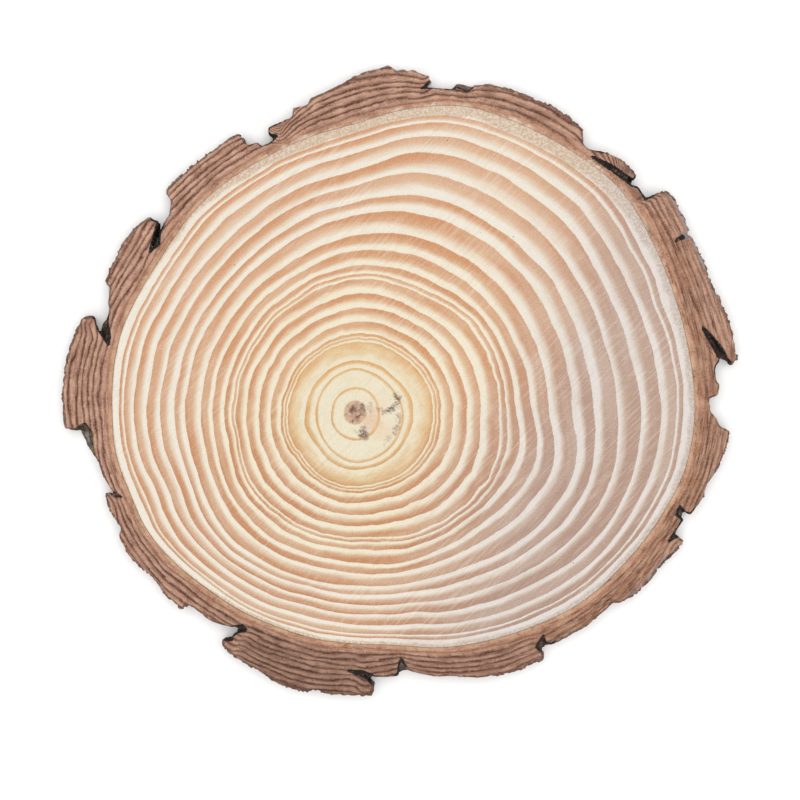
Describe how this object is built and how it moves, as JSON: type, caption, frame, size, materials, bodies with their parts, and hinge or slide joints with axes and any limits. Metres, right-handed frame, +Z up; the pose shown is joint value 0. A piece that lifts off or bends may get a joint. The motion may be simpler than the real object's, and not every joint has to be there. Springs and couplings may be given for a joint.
{
  "type": "wood slice",
  "caption": "Thin round slice sawn across a pine log, with off-centre growth rings and a ring of scaly bark; lies flat as a rustic coaster, stand or craft base.",
  "frame": {"origin": "middle of the underside, at the centre of the slice's box", "axes": "+Z up, square to the two sawn faces; +X across the wide side, the way the tree grew fastest, so the pith lies on the -X, -Y side of the origin"},
  "size_m": [0.1212, 0.1124, 0.01],
  "materials": {
    "wood": "bare pine end grain, sawn across and lightly sanded, matt",
    "bark": "raw scaly pine bark, reddish brown where sawn, grey-brown and rough outside"
  },
  "bodies": {
    "root": {"wood": "wood", "bark": "bark"}
  },
  "joints": []
}
